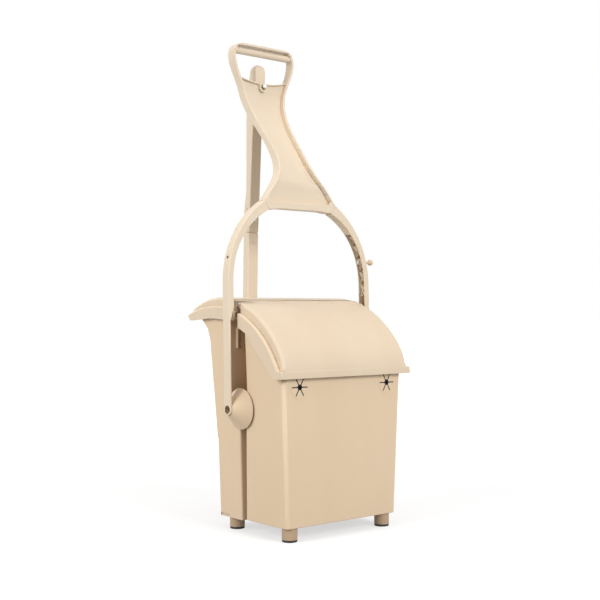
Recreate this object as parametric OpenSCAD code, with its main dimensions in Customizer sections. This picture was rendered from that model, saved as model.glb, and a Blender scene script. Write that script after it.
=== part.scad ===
// Long-handled waste bin: two buckets, two hinged lids, an arched tilting handle and a rear locking post.
// Millimetres. +Z is up, the front faces -Y, the origin is on the floor below the handle pivot axis.

/* [Bin] */
// Outer width of both buckets at their floor
bin_width = 263; // [246:1:280]
// Distance of the front bucket's front wall ahead of the pivot axis, at the floor
front_reach = 120; // [105:1:122]
// Distance of the rear bucket's back wall behind the pivot axis, at the floor
rear_reach = 84; // [78:1:88]
// Wall thickness of the buckets
wall = 3; // [2:0.1:4]
// Height of the front bucket's underside above the floor
front_floor = 25; // [22:1:30]
// Height of the rear bucket's underside above the floor
rear_floor = 22; // [20:1:24]
// Radius of the front bucket's front corners
corner = 8; // [6:1:14]

/* [Handle] */
// Height of the handle pivot axis above the floor
pivot_h = 228; // [224:1:232]
// Gap between each lid skirt and the inner face of the arm beside it
arm_gap = 4.5; // [3.5:0.5:8]
// Thickness of each arm across the bin, above the lids
arm_t = 11.5; // [10:0.5:13]
// Thickness of each arm beside the buckets
end_t = 4; // [3:0.5:5]
// Depth of each arm front to back
arm_d = 19.5; // [17:0.5:20]
// Radius of the inner edge of the arch
arch_r = 168; // [165:1:171]
// Length of the straight part of each arm above the pivot
arm_straight = 230.5; // [228:0.5:235]
// Thickness of each arm where it joins the panel
joint_t = 20.5; // [18:0.5:22]
// Angle up the arch where the arms join the panel
joint_angle = 58.6; // [56:0.1:61]
// Backward lean of the upright handle in degrees
lean = 1.5; // [1:0.1:2]
// Backward offset of the grip from the arms
neck_offset = 106.5; // [100:0.5:108]
// Height of the grip's top edge above the pivot
grip_top = 706; // [700:1:712]
// Half width of the panel at the grip
grip_half = 75; // [70:1:80]
// Thickness of the panel's edge flange
flange = 4.5; // [4:0.1:6]
// Radius of the grip bar
grip_r = 6.7; // [6:0.1:7.5]
// Pitch of the crossed ribs in the arm channels
rib_pitch = 23; // [20:1:26]

/* [Hub] */
// Radius of each hub cone at its base
cone_r = 38; // [36:1:42]
// Radius of the screw access hole in each arm end
access_r = 7.5; // [7:0.1:8]
// Radius of each pivot bolt
bolt_r = 4; // [3.5:0.1:4.2]
// Radial running clearance of the hubs and lid knuckles
run = 0.05; // [0.03:0.01:0.08]

/* [Lids] */
// Half width of both lids over the skirts
lid_half = 157; // [150:0.5:164]
// Overhang of each lid skirt beyond the bucket side at the rim
skirt_over = 9.8; // [9.5:0.1:13]
// Width of the stepped ledge along each lid edge
ledge = 8.5; // [7:0.5:10]
// Lid wall thickness
lid_t = 2.5; // [2:0.1:3]
// Radius of the lid hinge pins
hinge_r = 2.5; // [2:0.1:3]
// Length of each lid hinge pin
hinge_len = 260; // [250:1:264]

/* [Post] */
// Width of the rear post
post_w = 25; // [20:0.5:26]
// Radius of the lock stud's ball head
stud_r = 4.3; // [3.8:0.1:4.5]
// Top of the rear post above the floor
post_top = 898; // [890:1:902]

/* [Details] */
// Radius of each foot
foot_r = 14; // [12:0.5:15]
// Height of each rubber foot pad
pad_h = 4; // [3:0.5:6]
// Radius of the round bag inserts
insert_r = 20.5; // [18:0.5:21]
// Radius of the side knob ball
knob_r = 6; // [5:0.5:7]
// Radius of the accessory hole in the left arm
hole_r = 3; // [2:0.1:4]

/* [Hidden] */
$fn = 96;
beige = [0.87, 0.78, 0.66];
shade = [0.80, 0.70, 0.57];
black = [0.06, 0.06, 0.06];
steel = [0.75, 0.76, 0.78];
eps = 0.01;
far = 900;
// lid arch circles: middle [y, z] and radius of the raised surface, the front's turn-down and the rear slope
arch_mid = [62, 207];
roof_r = 224;
turn_r = 90;
turn_a = 52.3;
rear_r = 185;
step = 17;
ledge_rear_r = 270;
knuckle_r = 5;
front_axis = [-7, hinge_z(-7)];
rear_axis = [5, hinge_z(5)];
split = 236;
recess_y = 32;
rim_z = 391;
rear_end = 149.5;
insert_z = 272;
insert_x = bin_width / 2 - 26;
foot_x = bin_width / 2 - 19.5;
foot_front = -103;
foot_rear = 52;
axle_r = 7;
washer_t = 1.2;
cone_tip_r = 10.4;
knob_z = 275;
knob_reach = 20;
stud_z = 852;
clip_z = 337;
clip_x = 118.2;
clip_w = 11.4;
clip_h = 38;
screw_x = 80;
// middles and half lengths of the carrier's hinge lugs, and their side gap
lug_x = 62;
lug_half = 14;
lug_gap = 0.4;
mid_half = lug_x - lug_half - lug_gap;
knuckle_low = rear_axis[1] - knuckle_r;
lid_front = arch_mid[0] - (roof_r - turn_r) * sin(turn_a) - turn_r;
// across the bin, outwards: carrier, axle end, washer, hub, cone, arm
arm_inner = lid_half + arm_gap;
end_in = arm_inner + arm_t - end_t;
plate_half = bin_width / 2 - 16;
block_half = half(clip_z) - 36;
axle_half = half(pivot_h) + 0.26;
hub_in = axle_half + washer_t + 0.3;
cone_base = hub_in + 1.2;
cone_tip = end_in + 1;
head_x = end_in - 9;
// heights above the pivot between which the arms get thin
thin_z = 160;
thick_z = 184;
// rail, groove and bar of the grip, from the top down
rail = 4;
grip_z = grip_top - rail - 3.3 - grip_r;
// joint between arm and panel, and the panel's heights above the pivot
joint_x = arm_inner - arch_r + (arch_r + arm_t) * cos(joint_angle);
joint_z = arm_straight + (arch_r + arm_t) * sin(joint_angle);
// inner edge circle of each arm, tangent to the arch at this angle
swell_a = 12;
swell_r = arch_r - swell(arch_r);
taper_half = 54;
waist_half = 36.8;
flare_half = 52.3;
grip_corner = 22;
taper_z = joint_z + 43.3;
waist_z = joint_z + 103.3;
flare_z = grip_top - 92;
wide_z = grip_top - 25;
sill_z = grip_top - 73;
slot_z = grip_top - 81;

function lerp(a, b, t) = a + (b - a) * t;
function half(z) = lerp(bin_width / 2, lid_half - skirt_over, (z - front_floor) / (rim_z - front_floor));
function front_y(z) = -front_reach - (z - 25) * 0.012;
function mid_front(z) = z < split ? -1.6 - (z - 25) * 0.049 : -16.4 + (z - split) * 0.016;
function mid_rear(z) = 11 - (z - 22) * 0.0175;
function post_front(z) = 153 - (z - 432) * 0.0215;
function on_arch(y, r) = arch_mid[1] + sqrt(max(0, pow(r, 2) - pow(y - arch_mid[0], 2)));
function hinge_z(y) = on_arch(y, roof_r - knuckle_r);
function rim_at(y) = on_arch(y, roof_r - step - 5);
function smooth(t) = t <= 0 ? 0 : t >= 1 ? 1 : t * t * (3 - 2 * t);
function neck_y(z) = neck_offset * smooth((z - joint_z - 20.3) / 210);
function neck_s(z) = (neck_y(z + 1) - neck_y(z - 1)) / 2;
function neck_point(z, d) = [neck_y(z), z] + d * [1, -neck_s(z)] / norm([1, neck_s(z)]);
function dip(z) = 6 * pow(sin(180 * min(1, max(0, (z - joint_z - 45) / 180))), 2);
function back_y(z) = rear_reach + 2 + (z - 168) * 14 / 182;
// offset of the inner edge circle that gives the thickness at the joint
function swell(r) = (pow(r, 2) - pow(r + arm_t - joint_t, 2))
    / (2 * (r - (r + arm_t - joint_t) * cos(joint_angle - swell_a)));
function arch_x(r, a) = arm_inner - arch_r + r * cos(a);
function arch_z(r, a) = arm_straight + r * sin(a);

// side-view shape drawn as [y, z], swept along X between two x values
module sweep_x(x0, x1)
{
    translate([x0, 0, 0])
        rotate([90, 0, 90])
            linear_extrude(height = x1 - x0)
                children();
}

// front-view shape drawn as [x, z], swept along Y between two y values
module sweep_y(y0, y1)
{
    translate([0, y1, 0])
        rotate([90, 0, 0])
            linear_extrude(height = y1 - y0)
                children();
}

module rod_x(r, x0, x1, y, z)
{
    translate([x0, y, z])
        rotate([0, 90, 0])
            cylinder(r = r, h = x1 - x0);
}

module rod_y(r, y0, y1, x, z)
{
    translate([x, y0, z])
        rotate([-90, 0, 0])
            cylinder(r = r, h = y1 - y0);
}

module block(x0, x1, y0, y1, z0, z1)
{
    translate([x0, y0, z0])
        cube([x1 - x0, y1 - y0, z1 - z0]);
}

module both()
{
    children();
    mirror([1, 0, 0])
        children();
}

module ring(z, hw, yf, yr, rf, rr)
{
    for (s = [-1, 1]) {
        translate([s * (hw - rf), yf + rf, z])
            cylinder(r = rf, h = 0.1, $fn = 32);
        translate([s * (hw - rr), yr - rr, z])
            cylinder(r = rr, h = 0.1, $fn = 32);
    }
}

module tub(z0, z1, y0, y1, y2, y3, rf, rr, i)
{
    hull() {
        ring(z0, half(z0) - i, y0 + i, y1 - i, rf - i, rr - i);
        ring(z1, half(z1) - i, y2 + i, y3 - i, rf - i, rr - i);
    }
}

// ---------- front bucket ----------
module front_tubs(z0, i)
{
    z1 = split - i;
    tub(z0, z1, front_y(z0), mid_front(z0), front_y(z1), mid_front(split - eps), corner, 3.5, i);
    tub(z1, 400, front_y(z1), mid_front(split), front_y(400), mid_front(400), corner, 3.5, i);
}

module front_bucket()
{
    color(beige)
        difference() {
            intersection() {
                front_tubs(front_floor, 0);
                sweep_x(-200, 200)
                    polygon(concat([[20, 0], [-140, 0]],
                        [for (y = [-140:8:20]) [y, rim_at(y)]]));
            }
            front_tubs(front_floor + wall, wall);
            for (s = [-1, 1]) {
                rod_y(insert_r + 0.1, -150, -100, s * insert_x, insert_z);
                for (z = [90, 330])
                    rod_y(2.6, -25, 20, s * screw_x, z);
                translate([s * foot_x, foot_front, 0])
                    cylinder(r = 2.1, h = 60);
            }
        }
}

// ---------- rear bucket ----------
module rear_tubs(i, lift)
{
    heights = [168, 350, 372, rim_z];
    backs = [2, 16, 23, 42];
    tub(rear_floor + lift, heights[0], mid_rear(22), rear_reach, mid_rear(168), rear_reach, 3.5, 10, i);
    for (n = [0:2])
        tub(heights[n] - lift * 0.99, heights[n + 1], mid_rear(heights[n]), rear_reach + backs[n],
            mid_rear(heights[n + 1]), rear_reach + backs[n + 1], 3.5, 10, i);
}

module rear_bucket()
{
    color(beige)
        difference() {
            difference() {
                rear_tubs(0, 0);
                block(-200, 200, -50, recess_y, split - 1, 500);
                both()
                    block(half(30) - 2.5, 200, 50, rear_reach - 7, 0, 27.5);
            }
            difference() {
                union() {
                    rear_tubs(wall, wall);
                    block(-half(rim_z) + wall + 9, half(rim_z) - wall - 9,
                        recess_y + wall, rear_reach + 30, 360, 500);
                }
                block(-200, 200, -50, recess_y + wall, split - 1 - wall, 500);
                both() {
                    block(half(30) - 2.5 - wall, 200, 50 - wall, rear_reach - 7 + wall, 0, 27.5 + wall);
                    block(clip_x - 3, clip_x + clip_w + 3, recess_y, recess_y + 12,
                        clip_z - 3, clip_z + clip_h + 3);
                }
            }
            both()
                block(clip_x, clip_x + clip_w, recess_y - 1, recess_y + 9, clip_z, clip_z + clip_h);
            for (s = [-1, 1]) {
                for (z = [90, 330])
                    rod_y(2.6, 0, 50, s * screw_x, z);
                translate([s * foot_x, foot_rear, 0])
                    cylinder(r = 2.1, h = 60);
                for (z = [222, 308])
                    rod_y(2.1, 60, 140, s * 23, z);
            }
        }
}

// ---------- carrier between the buckets, with the axle boss and the lid hinge beam ----------
module lug(x0, x1, axis, side)
{
    rod_x(knuckle_r, x0, x1, axis[0], axis[1]);
    block(x0, x1, min(axis[0], side), max(axis[0], side), axis[1] - knuckle_r, axis[1] + 2);
}

module carrier()
{
    color(shade)
        difference() {
            union() {
                sweep_x(-plate_half, plate_half)
                    polygon([[mid_front(30) + 0.1, 30], [mid_front(split - eps) + 0.1, split - 1],
                        [mid_rear(split) - 0.1, split - 1], [mid_rear(30) - 0.1, 30]]);
                sweep_x(-block_half, block_half)
                    polygon([[mid_front(split - eps) + 0.3, split - 2],
                        [mid_front(split - eps) + 0.3, split + 0.4],
                        [mid_front(split) + 0.1, split + 0.4], [mid_front(388) + 0.1, 388],
                        [recess_y - 0.1, 388], [recess_y - 0.1, split - 0.9],
                        [mid_rear(split) - 0.1, split - 0.9], [mid_rear(split) - 0.1, split - 2]]);
                rod_x(axle_r, -axle_half, axle_half, 0, pivot_h);
                block(6 - block_half, block_half - 6, mid_front(388) + 0.5, 12, 380, 404);
                for (s = [-1, 1]) {
                    x0 = s * lug_x - lug_half;
                    x1 = s * lug_x + lug_half;
                    lug(x0, x1, front_axis, -1);
                    lug(x0, x1, rear_axis, -1);
                    block(x0, x1, front_axis[0] - knuckle_r, rear_axis[0] + knuckle_r, 403, 413);
                }
            }
            block(-block_half + 4, block_half - 4, -4, recess_y - 4, split - eps, 380);
            for (s = [-1, 1]) {
                rod_x(bolt_r + 0.02, s * (axle_half - 19) - 20.5, s * (axle_half - 19) + 20.5,
                    0, pivot_h);
                for (z = [90, 330])
                    rod_y(2.52, -25, 50, s * screw_x, z);
            }
            rod_x(hinge_r + 0.02, -200, 200, front_axis[0], front_axis[1]);
            rod_x(hinge_r + 0.02, -200, 200, rear_axis[0], rear_axis[1]);
        }
}

module side_clips()
{
    color(beige)
        both()
            block(clip_x + clip_w - 3.4, clip_x + clip_w - 0.02, recess_y - 4, recess_y + 8.9,
                clip_z + 0.1, clip_z + clip_h - 0.1);
}

module bucket_screws()
{
    color(steel)
        for (s = [-1, 1])
            for (z = [90, 330]) {
                rod_y(2.5, mid_front(z) - wall - 2, mid_front(z) + 4.6, s * screw_x, z);
                rod_y(5, mid_front(z) - wall - 2.9, mid_front(z) - wall - 0.4, s * screw_x, z);
                translate([0, z > 200 ? recess_y : mid_rear(z), 0]) {
                    rod_y(2.5, -3.6, wall + 2, s * screw_x, z);
                    rod_y(5, wall + 0.1, wall + 2.6, s * screw_x, z);
                }
            }
}

// ---------- handle pivots ----------
module pivot_bolts()
{
    color(steel)
        both() {
            rod_x(bolt_r, axle_half - 35, head_x + 1.5, 0, pivot_h);
            difference() {
                rod_x(access_r - 1, head_x, head_x + 5, 0, pivot_h);
                rod_x(2.9, head_x + 2, head_x + 6, 0, pivot_h, $fn = 6);
            }
        }
}

module pivot_washers()
{
    color(black)
        both()
            difference() {
                rod_x(axle_r, axle_half, axle_half + washer_t, 0, pivot_h);
                rod_x(bolt_r + 0.02, axle_half - 1, axle_half + 3, 0, pivot_h);
            }
}

module at_handle()
{
    translate([0, 0, pivot_h])
        rotate([-lean, 0, 0])
            children();
}

module arm_end(gap)
{
    block(end_in - gap, far, -arm_d / 2 - gap, arm_d / 2 + gap, 0, 60);
    rod_x(cone_tip_r + gap, end_in - gap, far, 0, 0);
}

module hub_cone()
{
    slope = (cone_r - cone_tip_r) / (cone_tip - cone_base);
    difference() {
        union() {
            difference() {
                translate([cone_base, 0, 0])
                    rotate([0, 90, 0])
                        cylinder(r1 = cone_r, r2 = cone_tip_r, h = cone_tip - cone_base);
                translate([cone_base - eps, 0, 0])
                    rotate([0, 90, 0])
                        cylinder(r1 = cone_r - 3, r2 = cone_r - 3 - slope * 16, h = 16);
            }
            rod_x(11, hub_in, end_in - 0.1, 0, 0);
            intersection() {
                translate([cone_base, 0, 0])
                    rotate([0, 90, 0])
                        cylinder(r1 = cone_r, r2 = cone_tip_r, h = cone_tip - cone_base);
                for (a = [0:60:120])
                    rotate([a, 0, 0])
                        block(cone_base + 2, end_in - 1, -60, 60, -1, 1);
            }
        }
        rod_x(bolt_r + run, hub_in - 2, far, 0, 0);
        rod_x(access_r, head_x - 0.3, far, 0, 0);
        arm_end(0.1);
    }
}

module left_hub_cone()
{
    color(beige)
        at_handle()
            mirror([1, 0, 0])
                hub_cone();
}

module right_hub_cone()
{
    color(beige)
        at_handle()
            hub_cone();
}

// ---------- arched arms ----------
// flat seat for the knob where the arch's outer face leans in
knob_seat = arch_x(arch_r + arm_t, asin((knob_z + 3.6 - arm_straight) / (arch_r + arm_t)));

// middle of the inner edge circle, and the inner corner of the joint
inner_mid = [arch_x(swell(arch_r), swell_a), arch_z(swell(arch_r), swell_a)];
inner_x = arch_x(arch_r + arm_t - joint_t, joint_angle);
inner_z = arch_z(arch_r + arm_t - joint_t, joint_angle);

module wedge(r0, r1, a0, a1)
{
    translate([arm_inner - arch_r, arm_straight])
        intersection() {
            difference() {
                circle(r = r1);
                circle(r = r0);
            }
            polygon([[0, 0], [far * cos(a0), far * sin(a0)],
                [far * cos((a0 + a1) / 2), far * sin((a0 + a1) / 2)], [far * cos(a1), far * sin(a1)]]);
        }
}

module cross_ribs()
{
    dep = arm_t - 4;
    n = floor((arm_straight - thick_z - 2) / rib_pitch);
    turn = atan2(rib_pitch, arm_d - 5);
    long = norm([rib_pitch, arm_d - 5]);
    m = floor(arch_r * 36 * PI / 180 / rib_pitch);
    for (i = [0:n - 1])
        for (s = [-1, 1])
            translate([arm_inner + 2.5, 0, arm_straight - (i + 0.5) * rib_pitch])
                rotate([s * (90 - turn), 0, 0])
                    block(0, dep, -0.8, 0.8, -long / 2, long / 2);
    for (i = [0:m - 1])
        for (s = [-1, 1])
            translate([arm_inner - arch_r, 0, arm_straight])
                rotate([0, -(i + 0.5) * 36 / m, 0])
                    translate([arch_r + 2.5, 0, 0])
                        rotate([s * (90 - turn), 0, 0])
                            block(0, dep, -0.8, 0.8, -long / 2, long / 2);
}

module tongue(gap)
{
    translate([arch_x(arch_r, joint_angle), 0, arch_z(arch_r, joint_angle)])
        rotate([0, 90 - joint_angle, 0])
            block(-9 - gap, 1, -arm_d / 2 + 4 - gap, arm_d / 2 - 4 + gap, 2.5 - gap, 8.5 + gap);
}

module arm()
{
    difference() {
        union() {
            sweep_y(-arm_d / 2, arm_d / 2) {
                wedge(arch_r, arch_r + arm_t, 0, joint_angle);
                difference() {
                    wedge(arch_r + arm_t - joint_t - 2, arch_r + 1, swell_a, joint_angle);
                    translate(inner_mid)
                        circle(r = swell_r);
                }
                polygon([[end_in, 0], [arm_inner + arm_t, 0], [arm_inner + arm_t, arm_straight],
                    [arm_inner, arm_straight], [arm_inner, thick_z], [end_in, thin_z]]);
            }
            rod_x(cone_tip_r, end_in, arm_inner + arm_t, 0, 0);
            tongue(0);
        }
        difference() {
            sweep_y(-arm_d / 2 + 2.5, arm_d / 2 - 2.5) {
                wedge(arch_r - 12, arch_r + arm_t - 2.5, -0.01, 36);
                translate([arm_inner - 5, thick_z + 2])
                    square([arm_t + 2.5, arm_straight - thick_z - 2]);
            }
            cross_ribs();
            rod_x(5.5, arm_inner - 4.5, far, 0, knob_z);
        }
        rod_x(access_r, end_in - 11, far, 0, 0);
        translate([arch_x(arch_r, joint_angle), 0, arch_z(arch_r, joint_angle)])
            rotate([0, 90 - joint_angle, 0])
                rod_y(2.02, -6, 20, -5, 5.5);
    }
}

module left_arm()
{
    color(beige)
        at_handle()
            mirror([1, 0, 0])
                difference() {
                    arm();
                    rod_x(hole_r, 100, far, 0, knob_z);
                    translate([arm_inner - arch_r, 0, arm_straight])
                        rotate([0, -33, 0])
                            rod_x(1.5, arch_r + 3, arch_r + 30, 4, 0);
                }
}

module right_arm()
{
    color(beige)
        at_handle()
            difference() {
                arm();
                rod_x(2.02, 100, far, 0, knob_z);
                rod_x(3.6, knob_seat, far, 0, knob_z);
            }
}

// ---------- panel with swan neck and grip ----------
// half width of the panel over the height above the pivot
function width_at(z) =
    z < taper_z ? lerp(joint_x + 0.3, taper_half, (z - joint_z) / (taper_z - joint_z)) :
    z < waist_z ? lerp(taper_half, waist_half, ease_out((z - taper_z) / (waist_z - taper_z))) :
    z < flare_z ? lerp(waist_half, flare_half, pow((z - waist_z) / (flare_z - waist_z), 2)) :
    z < wide_z ? lerp(flare_half, grip_half, ease_both((z - flare_z) / (wide_z - flare_z))) :
    grip_half - grip_corner
        + sqrt(max(0, pow(grip_corner, 2) - pow(max(0, z - grip_top + grip_corner), 2)));
function ease_out(t) = 1 - pow(1 - t, 2.6);
function ease_both(t) = (smooth(t) + sin(90 * t)) / 2;

module outline(cut, z0, z1, steps)
{
    zs = [for (i = [0:steps]) lerp(z0, z1, i / steps)];
    polygon(concat(
        [for (z = zs) [width_at(z) - cut, z]],
        [for (i = [steps:-1:0]) [cut - width_at(zs[i]), zs[i]]]));
}

module band(front, back, thin)
{
    n = 56;
    zs = [for (i = [0:n]) lerp(joint_z - 16, grip_top + 6, i / n)];
    sweep_x(-100, 100)
        polygon(concat(
            [for (z = zs) neck_point(z, -front)],
            [for (i = [n:-1:0]) neck_point(zs[i], back - thin * dip(zs[i]))]));
}

module window(top)
{
    difference() {
        outline(flange, joint_z - 1, top, 60);
        for (s = [-1, 1])
            translate([s * arch_x(arch_r, joint_angle), arch_z(arch_r, joint_angle)])
                rotate(s * (joint_angle - 90))
                    translate([-13, -20])
                        square([26, 60]);
    }
}

module opening_low()
{
    polygon(concat([[-90, sill_z - 30], [90, sill_z - 30]],
        [for (x = [90:-6:-90]) [x, sill_z + 6 * pow(x / 50, 2)]]));
}

module handle_panel()
{
    color(beige)
        at_handle()
            difference() {
                union() {
                    intersection() {
                        band(arm_d / 2, arm_d / 2, 1);
                        sweep_y(-60, 160)
                            difference() {
                                union() {
                                    outline(0, joint_z, grip_top, 90);
                                    polygon([[-joint_x, joint_z + 0.1], [-inner_x, inner_z],
                                        [24 - inner_x, inner_z + 3.5], [inner_x - 24, inner_z + 3.5],
                                        [inner_x, inner_z], [joint_x, joint_z + 0.1]]);
                                }
                                window(grip_top - rail);
                            }
                    }
                    intersection() {
                        band(0, 3, 0);
                        sweep_y(-60, 160)
                            intersection() {
                                outline(flange - 1, joint_z - 3, sill_z + 27, 60);
                                union() {
                                    opening_low();
                                    translate([-100, joint_z - 14])
                                        square([200, sill_z - joint_z]);
                                }
                            }
                    }
                    intersection() {
                        band(4.5, 1.5, 0);
                        sweep_y(-60, 160)
                            intersection() {
                                outline(flange - 1, sill_z - 30, sill_z + 27, 20);
                                difference() {
                                    opening_low();
                                    translate([0, -2.5])
                                        opening_low();
                                }
                            }
                    }
                    intersection() {
                        rod_x(grip_r, -grip_half, grip_half, neck_offset, grip_z);
                        sweep_y(60, 160)
                            outline(1, grip_z - 15, grip_top, 30);
                    }
                    rod_y(9, neck_offset - 5.5, neck_offset, 0, slot_z);
                    block(-9, 9, neck_offset - 5.5, neck_offset, slot_z, sill_z);
                }
                rod_y(5.2, neck_offset - 30, neck_offset + 30, 0, slot_z);
                block(-5.2, 5.2, neck_offset - 30, neck_offset + 30, slot_z, sill_z + 10);
                both() {
                    tongue(0.1);
                    translate([arch_x(arch_r, joint_angle), 0, arch_z(arch_r, joint_angle)])
                        rotate([0, 90 - joint_angle, 0])
                            rod_y(2.1, 0, 20, -5, 5.5);
                }
            }
}

module arm_joint_screws()
{
    color(steel)
        at_handle()
            both()
                translate([arch_x(arch_r, joint_angle), 0, arch_z(arch_r, joint_angle)])
                    rotate([0, 90 - joint_angle, 0]) {
                        rod_y(2, -4, arm_d / 2 + 2, -5, 5.5);
                        rod_y(3.8, arm_d / 2, arm_d / 2 + 2.2, -5, 5.5);
                    }
}

// ---------- rear post ----------
module lower_post()
{
    color(beige)
        difference() {
            sweep_x(-post_w / 2, post_w / 2)
                polygon([[post_front(205), 205], [post_front(563), 563], [post_front(563) + 7, 563],
                    [post_front(612) + 7, 612], [post_front(612) + 17, 612], [post_front(205) + 17, 205]]);
            rod_x(3.02, -50, 50, post_front(230) + 8.5, 230);
            rod_x(3.02, -50, 50, post_front(305) + 8.5, 305);
            rod_y(2.02, 140, post_front(588) + 13, 0, 588);
            block(-4, 4, 140, post_front(541) + 2, 539, 543);
        }
}

module upper_post()
{
    color(beige)
        difference() {
            intersection() {
                sweep_x(-post_w / 2, post_w / 2)
                    polygon([[post_front(563.1), 563.1], [144.5, 649], [139, 750], [131.5, 830],
                        [127.5, 867], [127.3, post_top - 13], [129, post_top - 5],
                        [133, post_top - 1], [138, post_top], [143, post_top - 4], [147.5, post_top - 14],
                        [151, 867], [156, 842], [159.7, 810], [160, 649], [post_front(612.1) + 17, 612.1],
                        [post_front(612.1) + 6.9, 612.1], [post_front(563.1) + 6.9, 563.1]]);
                sweep_y(100, 200) {
                    translate([-post_w / 2, 500])
                        square([post_w, post_top - post_w / 2 - 500]);
                    translate([0, post_top - post_w / 2])
                        circle(r = post_w / 2);
                }
            }
            rod_y(2.1, 140, 161, 0, 588);
            rod_y(2.52, 120, 142, 0, stud_z);
        }
}

module post_bracket()
{
    wy = back_y(200);
    wz = back_y(330);
    color(beige)
        difference() {
            union() {
                sweep_x(-31, 31)
                    polygon([[wy + 0.1, 200], [wz + 0.1, 330], [wz + 4.1, 330], [wy + 4.1, 200]]);
                for (s = [-1, 1])
                    sweep_x(s * (post_w / 2 + 1.85) - 1.75, s * (post_w / 2 + 1.85) + 1.75)
                        polygon([[wy + 2, 205], [wz + 2, 326], [165, 326], [170, 320], [171, 216],
                            [160, 207]]);
                sweep_x(-post_w / 2 - 1, post_w / 2 + 1)
                    polygon([[post_front(210) - 3.1, 210], [post_front(322) - 3.1, 322],
                        [post_front(322) - 0.1, 322], [post_front(210) - 0.1, 210]]);
            }
            rod_x(3.02, -50, 50, post_front(230) + 8.5, 230);
            rod_x(3.02, -50, 50, post_front(305) + 8.5, 305);
            for (s = [-1, 1])
                for (z = [222, 308])
                    rod_y(2.1, 60, 120, s * 23, z);
        }
}

module bracket_screws()
{
    color(steel) {
        for (z = [230, 305]) {
            rod_x(3, -post_w / 2 - 6, post_w / 2 + 6, post_front(z) + 8.5, z);
            both()
                rod_x(5, post_w / 2 + 3.7, post_w / 2 + 6.7, post_front(z) + 8.5, z);
        }
        for (s = [-1, 1])
            for (z = [222, 308]) {
                rod_y(2, back_y(z) - wall - 3, back_y(z) + 6, s * 23, z);
                rod_y(4, back_y(z) + 4.6, back_y(z) + 6.6, s * 23, z);
            }
        rod_y(2, post_front(588) - 2, post_front(588) + 12, 0, 588);
        rod_y(3.6, post_front(588) - 3.4, post_front(588) - 1.3, 0, 588);
    }
}

module lock_stud()
{
    color(steel) {
        rod_y(2.5, 114, 138, 0, stud_z);
        translate([0, 114, stud_z])
            sphere(r = stud_r);
    }
}

// ---------- knob on the right arm ----------
module knob()
{
    color(beige)
        at_handle() {
            rod_x(2, arm_inner - 9, knob_seat + knob_reach, 0, knob_z);
            rod_x(2.8, knob_seat + 0.02, knob_seat + knob_reach - 4, 0, knob_z);
            translate([knob_seat + knob_reach, 0, knob_z])
                sphere(r = knob_r);
        }
}

module knob_nut()
{
    color(steel)
        at_handle()
            difference() {
                rod_x(4.4, arm_inner - 8.4, arm_inner - 4.6, 0, knob_z, $fn = 6);
                rod_x(2.02, 100, far, 0, knob_z);
            }
}

// ---------- lids ----------
module roof(off)
{
    intersection() {
        translate(arch_mid)
            circle(r = roof_r + off, $fn = 240);
        polygon([arch_mid, arch_mid + far * [-sin(turn_a), cos(turn_a)], [arch_mid[0], far]]);
    }
    translate(arch_mid + (roof_r - turn_r) * [-sin(turn_a), cos(turn_a)])
        circle(r = turn_r + off, $fn = 240);
    intersection() {
        translate([arch_mid[0], arch_mid[1] + roof_r - rear_r])
            circle(r = rear_r + off, $fn = 240);
        translate([arch_mid[0] - eps, 200])
            square([400, 400]);
    }
}

module shoulder(off)
{
    intersection() {
        translate(arch_mid)
            circle(r = roof_r - step + off, $fn = 240);
        translate([-400, 200])
            square([400 + arch_mid[0], 400]);
    }
    intersection() {
        translate([arch_mid[0], arch_mid[1] + roof_r - step - ledge_rear_r])
            circle(r = ledge_rear_r + off, $fn = 240);
        translate([arch_mid[0] - eps, 200])
            square([400, 400]);
    }
}

// barrels of a lid on its pin, between the carrier's lugs
module knuckles(axis)
{
    rod_x(knuckle_r, -mid_half, mid_half, axis[0], axis[1]);
    both()
        rod_x(knuckle_r, lug_x + lug_half + lug_gap, lid_half - ledge, axis[0], axis[1]);
}

// solid webs that join the barrels of a lid to its roof
module webs(y0, y1, z0, z1)
{
    block(-mid_half, mid_half, y0, y1, z0, z1);
    both()
        block(lug_x + lug_half + lug_gap, lid_half - ledge, y0, y1, z0, z1);
}

// room in a lid for the carrier's lugs, and the pin's bore
module lug_room(axis)
{
    for (s = [-1, 1])
        rod_x(knuckle_r + lug_gap, s * lug_x - lug_half - lug_gap, s * lug_x + lug_half + lug_gap,
            axis[0], axis[1]);
    rod_x(hinge_r + run, -hinge_len / 2 - 0.5, 200, axis[0], axis[1]);
}

module front_zone(back)
{
    polygon([[-140, 288], [-110, 288], [-32, 366], [back, 376], [back, 600], [-140, 600]]);
}

module front_lid()
{
    inner = lid_half - ledge;
    color(beige)
        difference() {
            union() {
                sweep_x(-inner, inner)
                    intersection() {
                        roof(0);
                        front_zone(front_axis[0]);
                    }
                sweep_x(-lid_half, lid_half) {
                    intersection() {
                        shoulder(0);
                        front_zone(-9);
                    }
                    polygon([[lid_front, 288], [-110, 288], [-110, 300], [lid_front + 0.6, 300]]);
                }
                knuckles(front_axis);
            }
            difference() {
                union() {
                    sweep_x(-inner + lid_t, inner - lid_t)
                        intersection() {
                            roof(-lid_t);
                            hollow();
                        }
                    sweep_x(-lid_half + lid_t, lid_half - lid_t)
                        intersection() {
                            shoulder(-lid_t);
                            hollow();
                        }
                }
                webs(front_axis[0] - 9, front_axis[0], front_axis[1] - 3, front_axis[1] + 5);
                knuckles(front_axis);
            }
            both()
                block(inner + eps, lid_half + 1, -27.5, 0, 402, 500);
            lug_room(front_axis);
        }
}

// open underside of both lids
module hollow()
{
    translate([-140, 260])
        square([140 + rear_end - lid_t, 300]);
}

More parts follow.
